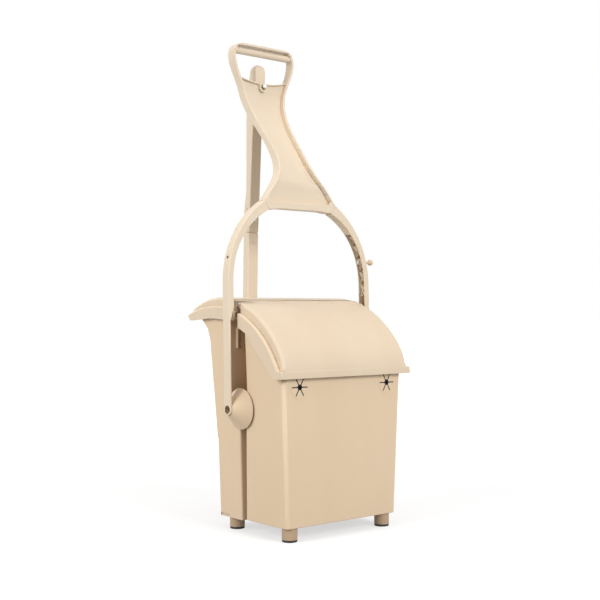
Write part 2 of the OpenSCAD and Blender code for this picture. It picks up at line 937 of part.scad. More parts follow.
module rear_lid()
{
    inner = lid_half - ledge;
    color(beige)
        difference() {
            union() {
                sweep_x(-inner, inner)
                    intersection() {
                        roof(0);
                        translate([rear_axis[0], 396])
                            square([rear_end - rear_axis[0], 300]);
                    }
                sweep_x(-lid_half, lid_half)
                    intersection() {
                        shoulder(0);
                        polygon([[3, 600], [3, 388.5], [20, 389], [75, 392.5], [135, 387.5],
                            [144.7, 387.6], [rear_end, 395.2], [rear_end, 600]]);
                    }
                knuckles(rear_axis);
            }
            difference() {
                union() {
                    sweep_x(-inner + lid_t, inner - lid_t)
                        intersection() {
                            roof(-lid_t);
                            hollow();
                        }
                    sweep_x(-lid_half + lid_t, lid_half - lid_t)
                        intersection() {
                            shoulder(-lid_t);
                            hollow();
                        }
                }
                webs(rear_axis[0], rear_axis[0] + 9, rear_axis[1] - 3, rear_axis[1] + 6);
                knuckles(rear_axis);
            }
            block(-inner + lid_t, inner - lid_t, -20, rear_axis[0] - knuckle_r, 300, 500);
            both()
                block(inner - lid_t - 1, lid_half - lid_t, -20, rear_axis[0], 300, knuckle_low);
            lug_room(rear_axis);
        }
}

module front_hinge_pin()
{
    color(steel)
        rod_x(hinge_r, -hinge_len / 2, hinge_len / 2, front_axis[0], front_axis[1]);
}

module rear_hinge_pin()
{
    color(steel)
        rod_x(hinge_r, -hinge_len / 2, hinge_len / 2, rear_axis[0], rear_axis[1]);
}

// ---------- feet and inserts ----------
module each_foot()
{
    for (s = [-1, 1]) {
        translate([s * foot_x, foot_front, 0])
            children(0);
        translate([s * foot_x, foot_rear, 0])
            children(1);
    }
}

module foot(top)
{
    difference() {
        translate([0, 0, pad_h])
            cylinder(r = foot_r, h = top - pad_h);
        cylinder(r = 2.1, h = 60);
        cylinder(r = 4.6, h = pad_h + 6);
    }
}

module feet()
{
    color(beige)
        each_foot() {
            foot(front_floor);
            foot(rear_floor);
        }
}

module pad()
{
    difference() {
        cylinder(r = foot_r - 0.4, h = pad_h);
        translate([0, 0, -1])
            cylinder(r = 4.6, h = pad_h + 2);
    }
}

module foot_pads()
{
    color(black)
        each_foot() {
            pad();
            pad();
        }
}

module foot_screw(top)
{
    translate([0, 0, pad_h + 3.4])
        cylinder(r = 4.2, h = 2.5);
    translate([0, 0, pad_h + 4])
        cylinder(r = 2, h = top - pad_h - 4);
}

module foot_screws()
{
    color(steel)
        each_foot() {
            foot_screw(front_floor + wall + 2);
            foot_screw(rear_floor + wall + 2);
        }
}

module bag_inserts()
{
    face = front_y(insert_z);
    color(beige)
        for (s = [-1, 1]) {
            difference() {
                rod_y(insert_r, face - 0.3, face + wall + 0.6, s * insert_x, insert_z);
                rod_y(5, -150, -100, s * insert_x, insert_z);
                translate([s * insert_x, 0, insert_z])
                    for (a = [0:60:120])
                        rotate([0, a, 0])
                            block(-17.5, 17.5, -150, -100, -1, 1);
            }
            difference() {
                rod_y(insert_r + 4, front_y(insert_z - insert_r - 7) + wall + 0.1, face + wall + 2.4,
                    s * insert_x, insert_z - 3);
                rod_y(insert_r - 2, -150, -100, s * insert_x, insert_z);
            }
        }
}

module insert_rubbers()
{
    face = front_y(insert_z);
    color(black)
        for (s = [-1, 1])
            rod_y(insert_r - 2.2, face + wall + 0.7, face + wall + 2.4, s * insert_x, insert_z);
}

front_bucket();
rear_bucket();
carrier();
side_clips();
bucket_screws();
pivot_bolts();
pivot_washers();
left_hub_cone();
right_hub_cone();
left_arm();
right_arm();
handle_panel();
arm_joint_screws();
lower_post();
upper_post();
post_bracket();
bracket_screws();
lock_stud();
knob();
knob_nut();
front_lid();
rear_lid();
front_hinge_pin();
rear_hinge_pin();
feet();
foot_pads();
foot_screws();
bag_inserts();
insert_rubbers();
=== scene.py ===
"""Looks of a long-handled waste bin: rounded moulded plastic, steel and rubber round a fixed frame."""

import math

import bmesh
import bpy
from mathutils import Matrix, Vector


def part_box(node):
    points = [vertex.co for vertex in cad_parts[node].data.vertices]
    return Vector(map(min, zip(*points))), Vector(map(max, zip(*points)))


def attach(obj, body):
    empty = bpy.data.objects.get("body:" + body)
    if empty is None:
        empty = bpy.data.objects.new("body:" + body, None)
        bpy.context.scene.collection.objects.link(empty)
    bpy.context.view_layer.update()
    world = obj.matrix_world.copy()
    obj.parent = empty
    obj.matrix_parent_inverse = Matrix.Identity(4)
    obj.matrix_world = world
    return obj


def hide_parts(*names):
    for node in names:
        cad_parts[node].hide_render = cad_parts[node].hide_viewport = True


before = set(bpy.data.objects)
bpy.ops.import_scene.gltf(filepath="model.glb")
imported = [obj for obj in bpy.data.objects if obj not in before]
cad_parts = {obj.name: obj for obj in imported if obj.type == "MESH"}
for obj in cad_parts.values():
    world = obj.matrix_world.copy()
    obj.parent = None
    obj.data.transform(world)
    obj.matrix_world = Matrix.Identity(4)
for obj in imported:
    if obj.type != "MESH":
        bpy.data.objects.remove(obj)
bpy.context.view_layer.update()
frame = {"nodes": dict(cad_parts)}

bl_info = {
    "name": "Long-Handled Bin Finish",
    "version": (1, 0, 0),
    "blender": (4, 5, 0),
    "location": "3D View > Sidebar > Bin",
    "description": "Rounds and finishes the parts of a long-handled waste bin and lights it in a studio",
    "category": "Object",
}

MM = 0.001

# finishes: the noise that drives each one, and the lowest and highest roughness
TONE_STOPS = (0.35, 0.65)
CLOUD_SHARES = (0.97, 0.955, 0.935)
CLOUD = {"scale": 9, "detail": 3, "stretch": (1, 1, 0.35)}
SHEEN = {"scale": 60, "detail": 4}
SHEEN_ROUGHNESS = (0.44, 0.52)
GRAIN_DETAIL = 3
PLASTIC_IOR = 1.46
PLAIN_STEEL = {"shade": 0.86, "scale": 500, "detail": 4, "roughness": (0.32, 0.48)}
DARK_STEEL = {"shade": 0.7, "scale": 400, "detail": 4, "roughness": (0.4, 0.55)}
BRIGHT_STEEL = {"shade": 0.9, "scale": 900, "detail": 3, "roughness": (0.14, 0.24),
                "stretch": (1, 1, 0.1)}
DUST = {"scale": 300, "detail": 4}
DUST_SHADE = 1.8
DUST_ROUGHNESS = (0.55, 0.72)
PORES = {"scale": 1500, "detail": 2}
PORE_DEPTH = 0.02 * MM

# meshes: when corners merge, faces join, edges are rounded and shading breaks
MERGE_DISTANCE = 2e-6
FLAT_ANGLE = math.radians(0.2)
ROUND_ANGLE = math.radians(38)
SHARP_ANGLE = math.radians(52)

# handle, in its own leaning frame from the pivot
PIVOT_HEIGHT = 228 * MM
LEAN = math.radians(1.5)
GRIP_BASE = 660 * MM
ARCH = {"middle": -6.5 * MM, "straight": 230.5 * MM}
# the floor of each arm's channel, where the dark brown carrier tone is painted as shade
CHANNEL = {"half_depth": 7.2 * MM, "straight_floor": 169.8 * MM, "straight_end": 171 * MM,
           "arch_floor": 176 * MM, "arch_end": 177.6 * MM}
ARM = {"half_depth": 9.6 * MM, "hub_height": 6 * MM, "hub_reach": 10.2 * MM}
STUD_SLOT_HALF = 5.4 * MM
SILL = {"depth": (102 * MM, 108 * MM), "height": (630.5 * MM, 633 * MM), "edge": 0.8 * MM}

# lids: the front lip's top, the carrier's crest, the hinges' depth and the lower edge
LIP_TOP = 300 * MM
CREST = 405 * MM
HINGE_ZONE = 14 * MM
SKIRT_SLOPE = 398 * MM
SKIRT_CREST = 376 * MM
SKIRT_REAR = 394 * MM
SIDE_CLEAR = 4 * MM
SIDE_SLACK = 0.05 * MM
SHORTEST_SIDE = 0.3 * MM
# the ledges' arcs: middle (y, z), radius, starting angle and turn in degrees about the X axis
LEDGE_ARCS = {
    "front_lid": (((62 * MM, 207 * MM), 207 * MM, 22, 39),),
    "rear_lid": (((62 * MM, 207 * MM), 207 * MM, 14, -14), ((62 * MM, 144 * MM), 270 * MM, 0, -17)),
}
BEAD_RADIUS = 1.6 * MM
BEAD_SUNK = 0.4 * MM
BEAD_SIDES = 12
BEAD_STEPS = 24

# buckets: the height below which all edges are rounded, and the step in the rear bucket's front wall
BUCKET_FOOT = 60 * MM
STEP_DEPTH = 34 * MM
STEP_TOP = 330 * MM

# small parts
INSERT_EDGE = 0.6
FRONT_FACING = -0.9
PAD_EDGE = 0.9 * MM
INSERT_X = 105.5 * MM
INSERT_Z = 272 * MM
# the black star on each insert: partly the rubber seen through the slits, partly painted shade inside
# them
SLIT_ARMS = 6
SLIT_LENGTH = 17.5 * MM
SLIT_WIDTH = 1.9 * MM
SLIT_PROUD = 0.15 * MM
SLIT_HOLE = 5.2 * MM
SLIT_HOLE_SIDES = 24

# studio: name, power, width, place and aim of each lamp, then the floor and the lens
LAMPS = (
    ("top_light", "top_power", 1.8, (0.1, -0.3, 2.6), (0, 0, 0.4)),
    ("key_light", "key_power", 1.2, (0.2, -2.5, 1.5), (0, 0, 0.5)),
    ("side_light", "side_power", 1.2, (-2.4, 0.1, 1.3), (0, 0, 0.5)),
    ("back_light", "back_power", 1.4, (0.1, 2.6, 1.0), (0, 0, 0.5)),
)
FLOOR_REACH = 30
FLOOR_COLOUR = (0.42, 0.42, 0.42, 1)
NEAR_FLOOR = 0.5
FAR_FLOOR = 2.5
FAR_GLOW = 0.9
FRAME_PIXELS = 600
SENSOR_WIDTH = 36


# ---------- sizes and colours ----------
class BinFinish(bpy.types.PropertyGroup):
    """Colours and surface grain of the bin's materials."""

    bucket_colour: bpy.props.FloatVectorProperty(
        name="Buckets", description="Colour of the buckets, hub cones, bracket, inserts, clips and knob",
        default=(0.74, 0.575, 0.395), min=0, max=1, subtype="COLOR")
    lid_colour: bpy.props.FloatVectorProperty(
        name="Lids", description="Colour of the two lids and of the carrier's crest between them",
        default=(0.70, 0.57, 0.42), min=0, max=1, subtype="COLOR")
    # handle_colour is paler and whiter than the buckets' colour: partly the handle's own tone, partly
    # painted light for the brighter light and whiter sheen high up on the bin
    handle_colour: bpy.props.FloatVectorProperty(
        name="Handle", description="Colour of the arms, the panel and the post",
        default=(0.745, 0.625, 0.48), min=0, max=1, subtype="COLOR")
    foot_colour: bpy.props.FloatVectorProperty(
        name="Feet", description="Colour of the four feet",
        default=(0.48, 0.345, 0.225), min=0, max=1, subtype="COLOR")
    # frame_colour is painted shade: the carrier and the arms' channel floors are the same beige plastic,
    # and this dark brown stands in for the deep shade in the recess between the buckets and between the
    # arms' ribs
    frame_colour: bpy.props.FloatVectorProperty(
        name="Carrier", description="Colour of the carrier and of the floor of the arms' channels",
        default=(0.36, 0.2, 0.09), min=0, max=1, subtype="COLOR")
    grain_size: bpy.props.FloatProperty(
        name="Grain size", description="Size of the fine grain left by the mould",
        default=0.9 * MM, min=0.2 * MM, max=5 * MM, unit="LENGTH")
    grain_depth: bpy.props.FloatProperty(
        name="Grain depth", description="Depth of the fine grain",
        default=0.02 * MM, min=0, max=0.2 * MM, unit="LENGTH")
    steel_colour: bpy.props.FloatVectorProperty(
        name="Steel", description="Colour of the plain steel screws and pins",
        default=(0.56, 0.56, 0.57), min=0, max=1, subtype="COLOR")
    # bolt_colour is a dark brown steel for the pivot bolts, much darker than the plain screws
    bolt_colour: bpy.props.FloatVectorProperty(
        name="Pivot bolts", description="Colour of the oiled pivot bolts",
        default=(0.17, 0.105, 0.055), min=0, max=1, subtype="COLOR")
    bright_colour: bpy.props.FloatVectorProperty(
        name="Bright steel", description="Colour of the plated stud and nut",
        default=(0.78, 0.78, 0.79), min=0, max=1, subtype="COLOR")
    rubber_colour: bpy.props.FloatVectorProperty(
        name="Rubber", description="Colour of the foot pads, washers, slit discs and slits",
        default=(0.012, 0.012, 0.013), min=0, max=1, subtype="COLOR")


class BinEdges(bpy.types.PropertyGroup):
    """Edge radii of the moulded parts."""

    bucket: bpy.props.FloatProperty(
        name="Buckets", description="Radius of the buckets' lower edges and of the rear bucket's step",
        default=1.2 * MM, min=0, unit="LENGTH")
    ledge: bpy.props.FloatProperty(
        name="Lid ledge", description="Width of the low ledge along a lid's side",
        default=8.5 * MM, min=0, unit="LENGTH")
    lid_ridge: bpy.props.FloatProperty(
        name="Lid ridge", description="Radius of the round edge where a lid's top ends at its ledge",
        default=6 * MM, min=0, unit="LENGTH")
    lid_side: bpy.props.FloatProperty(
        name="Lid side", description="Radius of the outer edge of a lid's ledge",
        default=2.2 * MM, min=0, unit="LENGTH")
    arm: bpy.props.FloatProperty(
        name="Arms", description="Edge radius of the arms",
        default=1.5 * MM, min=0, unit="LENGTH")
    panel: bpy.props.FloatProperty(
        name="Panel", description="Edge radius of the handle panel below its grip",
        default=1.0 * MM, min=0, unit="LENGTH")
    post: bpy.props.FloatProperty(
        name="Post", description="Edge radius of the rear post",
        default=2.6 * MM, min=0, unit="LENGTH")
    hub: bpy.props.FloatProperty(
        name="Hub cones", description="Edge radius of the hub cones",
        default=0.7 * MM, min=0, unit="LENGTH")
    small: bpy.props.FloatProperty(
        name="Small parts", description="Edge radius of the carrier, bracket, feet, clips and knob",
        default=0.4 * MM, min=0, unit="LENGTH")


class BinStudio(bpy.types.PropertyGroup):
    """Camera, lamps and floor."""

    eye: bpy.props.FloatVectorProperty(
        name="Eye", description="Place of the camera",
        default=(-1.309, -1.578, 0.409), subtype="XYZ", unit="LENGTH")
    turn: bpy.props.FloatProperty(
        name="Turn", description="Heading of the camera round the vertical",
        default=math.radians(-39.61), subtype="ANGLE", unit="ROTATION")
    tilt: bpy.props.FloatProperty(
        name="Tilt", description="Height angle that the camera looks back from",
        default=math.radians(-0.49), subtype="ANGLE", unit="ROTATION")
    focal_px: bpy.props.FloatProperty(
        name="Focal length", description="Focal length in pixels of a frame 600 pixels wide",
        default=1077, subtype="PIXEL")
    top_power: bpy.props.FloatProperty(
        name="Top light", description="Power of the large soft light overhead",
        default=11, min=0, unit="POWER")
    key_power: bpy.props.FloatProperty(
        name="Key light", description="Power of the soft light at the front",
        default=40, min=0, unit="POWER")
    side_power: bpy.props.FloatProperty(
        name="Side light", description="Power of the soft light at the left",
        default=34, min=0, unit="POWER")
    back_power: bpy.props.FloatProperty(
        name="Back light", description="Power of the soft light behind",
        default=14, min=0, unit="POWER")
    fill: bpy.props.FloatProperty(
        name="Fill", description="Strength of the even light from all round",
        default=0.53, min=0, max=1, subtype="FACTOR")
    floor_glow: bpy.props.FloatProperty(
        name="Floor glow", description="Share of white that the floor adds for the camera",
        default=0.6, min=0, max=1, subtype="FACTOR")


def finish():
    return bpy.context.scene.bin_finish


def edges():
    return bpy.context.scene.bin_edges


def studio():
    return bpy.context.scene.bin_studio


# ---------- materials ----------
def start_material(name):
    """A material with its nodes, links, shader and coordinates, which are None if it was made before."""
    made = bpy.data.materials.get(name)
    if made:
        return made, None, None, None, None
    made = bpy.data.materials.new(name)
    made.use_nodes = True
    nodes, links = made.node_tree.nodes, made.node_tree.links
    nodes.clear()
    out = nodes.new("ShaderNodeOutputMaterial")
    shader = nodes.new("ShaderNodeBsdfPrincipled")
    place = nodes.new("ShaderNodeTexCoord")
    links.new(shader.outputs["BSDF"], out.inputs["Surface"])
    return made, nodes, links, shader, place


def noise(nodes, links, place, scale, detail, stretch=None):
    """Noise over the object's own coordinates, pulled out along an axis by stretch."""
    field = nodes.new("ShaderNodeTexNoise")
    field.inputs["Scale"].default_value = scale
    field.inputs["Detail"].default_value = detail
    source = place.outputs["Object"]
    if stretch:
        mapping = nodes.new("ShaderNodeMapping")
        mapping.inputs["Scale"].default_value = stretch
        links.new(source, mapping.inputs["Vector"])
        source = mapping.outputs["Vector"]
    links.new(source, field.inputs["Vector"])
    return field.outputs["Fac"]


def tones(nodes, links, value, low, high):
    """Blends two colours over the middle of a noise."""
    ramp = nodes.new("ShaderNodeValToRGB")
    for stop, position, colour in zip(ramp.color_ramp.elements, TONE_STOPS, (low, high)):
        stop.position = position
        stop.color = (*colour, 1)
    links.new(value, ramp.inputs["Fac"])
    return ramp.outputs["Color"]


def greys(nodes, links, value, span):
    """Blends two greys over the middle of a noise, for a socket that takes a number."""
    low, high = span
    return tones(nodes, links, value, (low,) * 3, (high,) * 3)


def shaded(colour, share):
    return tuple(c * share for c in colour)


def bump(nodes, links, value, depth, shader):
    node = nodes.new("ShaderNodeBump")
    node.inputs["Strength"].default_value = 1
    node.inputs["Distance"].default_value = depth
    links.new(value, node.inputs["Height"])
    links.new(node.outputs["Normal"], shader.inputs["Normal"])


def moulded_plastic(part="bucket"):
    """The beige plastic in the tone of the buckets, lids, handle (paler, partly painted light) or feet,
    or the dark brown painted shade of the carrier and the arms' channel floors.
    """
    made, nodes, links, shader, place = start_material(f"moulded_plastic_{part}")
    if nodes is None:
        return made
    look = finish()
    colour = getattr(look, f"{part}_colour")
    deeper = tuple(c * share for c, share in zip(colour, CLOUD_SHARES))
    cloud = noise(nodes, links, place, **CLOUD)
    links.new(tones(nodes, links, cloud, deeper, colour), shader.inputs["Base Color"])
    sheen = noise(nodes, links, place, **SHEEN)
    links.new(greys(nodes, links, sheen, SHEEN_ROUGHNESS), shader.inputs["Roughness"])
    grain = noise(nodes, links, place, 1 / look.grain_size, GRAIN_DETAIL)
    bump(nodes, links, grain, look.grain_depth, shader)
    shader.inputs["IOR"].default_value = PLASTIC_IOR
    return made


def steel(name, colour, shade, roughness, **field):
    """A metal whose colour and roughness follow one noise over its surface."""
    made, nodes, links, shader, place = start_material(name)
    if nodes is None:
        return made
    wear = noise(nodes, links, place, **field)
    links.new(tones(nodes, links, wear, shaded(colour, shade), colour), shader.inputs["Base Color"])
    links.new(greys(nodes, links, wear, roughness), shader.inputs["Roughness"])
    shader.inputs["Metallic"].default_value = 1
    return made


def plain_steel():
    return steel("plain_zinc_steel", finish().steel_colour, **PLAIN_STEEL)


def dark_steel():
    return steel("dark_oiled_steel", finish().bolt_colour, **DARK_STEEL)


def bright_steel():
    return steel("bright_plated_steel", finish().bright_colour, **BRIGHT_STEEL)


def black_rubber():
    made, nodes, links, shader, place = start_material("black_foot_rubber")
    if nodes is None:
        return made
    colour = finish().rubber_colour
    dust = noise(nodes, links, place, **DUST)
    links.new(tones(nodes, links, dust, colour, shaded(colour, DUST_SHADE)), shader.inputs["Base Color"])
    links.new(greys(nodes, links, dust, DUST_ROUGHNESS), shader.inputs["Roughness"])
    bump(nodes, links, noise(nodes, links, place, **PORES), PORE_DEPTH, shader)
    return made


# ---------- mesh helpers ----------
def show(mesh_source, name, body, material, replaced=()):
    """Makes a finished piece of a bmesh: smooth shading with sharp corners, on its body."""
    mesh = bpy.data.meshes.new(name)
    mesh_source.to_mesh(mesh)
    mesh_source.free()
    mesh.shade_smooth()
    mesh.set_sharp_from_angle(angle=SHARP_ANGLE)
    piece = bpy.data.objects.new(name, mesh)
    bpy.context.scene.collection.objects.link(piece)
    mesh.materials.append(material)
    flat = piece.modifiers.new("flat_faces", "WEIGHTED_NORMAL")
    flat.keep_sharp = True
    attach(piece, body)
    if replaced:
        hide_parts(*replaced)
    return piece


def merged(node):
    """A bmesh copy of a CAD node with its loose triangles merged into plain faces."""
    made = bmesh.new()
    made.from_mesh(frame["nodes"][node].data)
    bmesh.ops.remove_doubles(made, verts=made.verts, dist=MERGE_DISTANCE)
    bmesh.ops.dissolve_limit(
        made, angle_limit=FLAT_ANGLE, verts=made.verts, edges=made.edges, use_dissolve_boundaries=False)
    return made


def convex(edge):
    return edge.is_convex


def round_edges(made, radius, segments=2, pick=convex):
    """Bevels those of the sharp edges that pick accepts."""
    sharp = [
        e for e in made.edges
        if len(e.link_faces) == 2 and e.calc_face_angle() > ROUND_ANGLE and pick(e)
    ]
    bmesh.ops.bevel(
        made, geom=sharp, offset=radius, offset_type="OFFSET", segments=segments, profile=0.5,
        affect="EDGES", clamp_overlap=False, loop_slide=True, material=-1)


def rounded_part(node, name, body, radius, segments=2, pick=convex, part="bucket"):
    """Stands a copy of a CAD node with round edges in the node's place, in the tone of a part."""
    made = merged(node)
    round_edges(made, radius, segments, pick)
    return show(made, name, body, moulded_plastic(part), [node])


def second_tone(piece, part, pick):
    """Gives the faces that pick accepts the tone of another part."""
    piece.data.materials.append(moulded_plastic(part))
    for face in piece.data.polygons:
        if pick(face.center):
            face.material_index = 1


# ---------- choosing edges and faces ----------
def on_handle(point):
    """Depth and height of a point in the leaning handle's own frame, from the pivot."""
    height = point.z - PIVOT_HEIGHT
    return (
        point.y * math.cos(LEAN) - height * math.sin(LEAN),
        point.y * math.sin(LEAN) + height * math.cos(LEAN))


def painted_shade_channel_floor(point):
    """True on the deep floor of the channel in an arm, between its crossed ribs, which gets the dark
    brown carrier tone as painted shade.
    """
    depth, height = on_handle(point)
    across = abs(point.x)
    if abs(depth) > CHANNEL["half_depth"] or across > CHANNEL["straight_end"]:
        return False
    if height < ARCH["straight"]:
        return across > CHANNEL["straight_floor"]
    reach = math.hypot(across - ARCH["middle"], height - ARCH["straight"])
    return CHANNEL["arch_floor"] < reach < CHANNEL["arch_end"]


def on_arm_outline(edge):
    """True for an arm's long outer edges and the round edge of its hub end, not for its ribs."""
    for corner in edge.verts:
        depth, height = on_handle(corner.co)
        at_hub = height < ARM["hub_height"] and math.hypot(depth, height) > ARM["hub_reach"]
        if abs(depth) < ARM["half_depth"] and not at_hub:
            return False
    return edge.is_convex


def below_grip(edge):
    return edge.is_convex and all(on_handle(corner.co)[1] < GRIP_BASE for corner in edge.verts)


def skirt_height(depth):
    """Height of the lids' lower edge at a depth: sloped in front, level behind."""
    return SKIRT_REAR if depth > 0 else min(depth + SKIRT_SLOPE, SKIRT_CREST)


def on_lid_side(edge, side):
    """True for a convex edge at a lid's side, clear of the hinges and of the lid's lower edge."""
    if not edge.is_convex or edge.calc_length() < SHORTEST_SIDE:
        return False
    return all(
        abs(abs(corner.co.x) - side) < SIDE_SLACK and abs(corner.co.y) > HINGE_ZONE
        and corner.co.z > max(skirt_height(corner.co.y), LIP_TOP) + SIDE_CLEAR
        for corner in edge.verts)


def on_bucket(edge):
    """True for the convex edges low on a bucket and at the step in the rear bucket's front wall."""
    def near(point):
        return point.z < BUCKET_FOOT or (0 < point.y < STEP_DEPTH and point.z < STEP_TOP)
    return edge.is_convex and all(near(corner.co) for corner in edge.verts)


# ---------- buckets, lids ----------
class BIN_OT_buckets(bpy.types.Operator):
    """Rounds the buckets' lower edges, the rear bucket's step and the carrier between the buckets; the
    carrier is painted dark brown as shade, its crest in the lids' tone
    """

    bl_idname = "bin.buckets"
    bl_label = "Buckets"

    def execute(self, context):
        sizes = edges()
        rounded_part("front_bucket", "front_bucket_shell", "bin", sizes.bucket, pick=on_bucket)
        rounded_part("rear_bucket", "rear_bucket_shell", "bin", sizes.bucket, pick=on_bucket)
        # painted shade: the carrier takes the dark brown frame tone for the deep shade between the
        # buckets, and its crest between the lids keeps the lids' own tone
        carrier = rounded_part("carrier", "carrier_frame", "bin", sizes.small, part="frame")
        second_tone(carrier, "lid", lambda middle: middle.z > CREST)
        return {"FINISHED"}


def ledge_bead(made, place_x, arcs):
    """A bead along a lid's ledge: a small ring swept by one spin for each arc of the ledge."""
    (middle, radius, start, _), *_ = arcs
    ring = bmesh.ops.create_circle(made, segments=BEAD_SIDES, radius=BEAD_RADIUS)["verts"]
    bmesh.ops.rotate(made, verts=ring, cent=(0, 0, 0), matrix=Matrix.Rotation(math.pi / 2, 3, "X"))
    bmesh.ops.translate(made, verts=ring, vec=(place_x, middle[0], middle[1] + radius - BEAD_SUNK))
    bmesh.ops.rotate(
        made, verts=ring, cent=(0, *middle), matrix=Matrix.Rotation(math.radians(start), 3, "X"))
    swept = list(dict.fromkeys(edge for corner in ring for edge in corner.link_edges))
    for middle, _, _, turn in arcs:
        spun = bmesh.ops.spin(
            made, geom=swept, cent=(0, *middle), axis=(1, 0, 0), dvec=(0, 0, 0), angle=math.radians(turn),
            steps=BEAD_STEPS, use_duplicate=False)
        swept = [part for part in spun["geom_last"] if isinstance(part, bmesh.types.BMEdge)]
    bmesh.ops.holes_fill(made, edges=[edge for edge in made.edges if edge.is_boundary], sides=BEAD_SIDES)
    bmesh.ops.recalc_face_normals(made, faces=made.faces)


class BIN_OT_lids(bpy.types.Operator):
    """Rounds the lids' ridges and sides, and lays a bead along each ledge"""

    bl_idname = "bin.lids"
    bl_label = "Lids"

    def execute(self, context):
        sizes = edges()
        for node in ("front_lid", "rear_lid"):
            lid = merged(node)
            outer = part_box(node)[1][0]
            inner = outer - sizes.ledge
            for side, radius, segments in ((inner, sizes.lid_ridge, 5), (outer, sizes.lid_side, 3)):
                round_edges(lid, radius, segments, pick=lambda e: on_lid_side(e, side))
            show(lid, f"{node}_shell", node, moulded_plastic("lid"), [node])
            bead = bmesh.new()
            for side in (-1, 1):
                ledge_bead(bead, side * (outer - sizes.ledge / 2), LEDGE_ARCS[node])
            show(bead, f"{node}_ledge_beads", node, moulded_plastic("lid"))
        return {"FINISHED"}


# ---------- handle ----------
class BIN_OT_arms(bpy.types.Operator):
    """Rounds the two arched arms and the hub cones they turn on"""

    bl_idname = "bin.arms"
    bl_label = "Arms and hubs"

    def execute(self, context):
        for side in ("left", "right"):
            arm = rounded_part(
                f"{side}_arm", f"{side}_arm_body", "handle", edges().arm, 3, on_arm_outline, "handle")
            # painted shade: the floor of each arm's channel takes the dark brown frame tone for the shade
            # between the ribs
            second_tone(arm, "frame", painted_shade_channel_floor)
            rounded_part(f"{side}_hub_cone", f"{side}_hub_body", "handle", edges().hub)
        return {"FINISHED"}


class BIN_OT_panel(bpy.types.Operator):
    """Rounds the handle panel below its grip and adds the lip under the stud's slot"""

    bl_idname = "bin.panel"
    bl_label = "Handle panel"

    def execute(self, context):
        rounded_part(
            "handle_panel", "handle_panel_body", "handle", edges().panel, 2, below_grip, "handle")
        lip = bmesh.new()
        bmesh.ops.create_cube(lip, size=1)
        (near, far), (low, high) = SILL["depth"], SILL["height"]
        bmesh.ops.scale(lip, verts=lip.verts, vec=(2 * STUD_SLOT_HALF, far - near, high - low))
        bmesh.ops.translate(lip, verts=lip.verts, vec=(0, (near + far) / 2, (low + high) / 2))
        round_edges(lip, SILL["edge"], 3)
        bmesh.ops.rotate(lip, verts=lip.verts, cent=(0, 0, 0), matrix=Matrix.Rotation(-LEAN, 3, "X"))
        bmesh.ops.translate(lip, verts=lip.verts, vec=(0, 0, PIVOT_HEIGHT))
        show(lip, "stud_slot_lip", "handle", moulded_plastic("handle"))
        return {"FINISHED"}


class BIN_OT_post(bpy.types.Operator):
    """Rounds the two-piece rear post and its bracket"""

    bl_idname = "bin.post"
    bl_label = "Rear post"

    def execute(self, context):
        sizes = edges()
        for node in ("lower_post", "upper_post"):
            rounded_part(node, f"{node}_body", "bin", sizes.post, 3, part="handle")
        rounded_part("post_bracket", "post_bracket_body", "bin", sizes.small)
        return {"FINISHED"}


# ---------- small parts ----------
class BIN_OT_small_parts(bpy.types.Operator):
    """Rounds the feet, their pads, the round inserts, the clips and the knob"""

    bl_idname = "bin.small_parts"
    bl_label = "Small parts"

    def execute(self, context):
        radius = edges().small
        rounded_part("feet", "feet_bodies", "bin", radius, part="foot")
        rounded_part("bag_inserts", "bag_insert_discs", "bin", radius * INSERT_EDGE)
        rounded_part("side_clips", "side_clip_tabs", "bin", radius)
        rounded_part("knob", "ball_knob", "handle", radius)
        pads = merged("foot_pads")
        round_edges(pads, PAD_EDGE, 3)
        show(pads, "foot_pad_tips", "bin", black_rubber(), ["foot_pads"])
        return {"FINISHED"}


def insert_front():
    """A point on the front faces of the round inserts and those faces' outward direction."""
    discs = merged("bag_inserts")
    front = max((f for f in discs.faces if f.normal.y < FRONT_FACING), key=lambda f: f.calc_area())
    on_face, outward = front.calc_center_median(), front.normal.copy()
    discs.free()
    return on_face, outward


class BIN_OT_slits(bpy.types.Operator):
    """Lays thin black sheets in the shape of the two bag inserts' six-armed slits and round hole: partly
    the black rubber behind the openings, partly painted shade inside them
    """

    bl_idname = "bin.slits"
    bl_label = "Insert slits"

    def execute(self, context):
        made = bmesh.new()
        on_face, outward = insert_front()
        upright = Vector((0, 0, 1)).rotation_difference(outward).to_matrix()
        for side in (-1, 1):
            middle = Vector((side * INSERT_X, on_face.y, INSERT_Z))
            middle.y -= (middle - on_face).dot(outward) / outward.y
            # the black star is partly the rubber seen through the slits and partly painted shade inside
            # the openings
            star = bmesh.ops.create_circle(
                made, cap_ends=True, segments=SLIT_HOLE_SIDES, radius=SLIT_HOLE)["verts"]
            for arm in range(SLIT_ARMS):
                bar = bmesh.ops.create_grid(made, x_segments=1, y_segments=1, size=0.5)["verts"]
                bmesh.ops.scale(made, verts=bar, vec=(SLIT_LENGTH, SLIT_WIDTH, 1))
                bmesh.ops.translate(made, verts=bar, vec=(SLIT_LENGTH / 2, 0, 0))
                around = Matrix.Rotation(math.radians(360 / SLIT_ARMS * arm), 3, "Z")
                bmesh.ops.rotate(made, verts=bar, cent=(0, 0, 0), matrix=around)
                star += bar
            bmesh.ops.rotate(made, verts=star, cent=(0, 0, 0), matrix=upright)
            bmesh.ops.translate(made, verts=star, vec=middle + outward * SLIT_PROUD)
        show(made, "insert_slits", "bin", black_rubber())
        return {"FINISHED"}


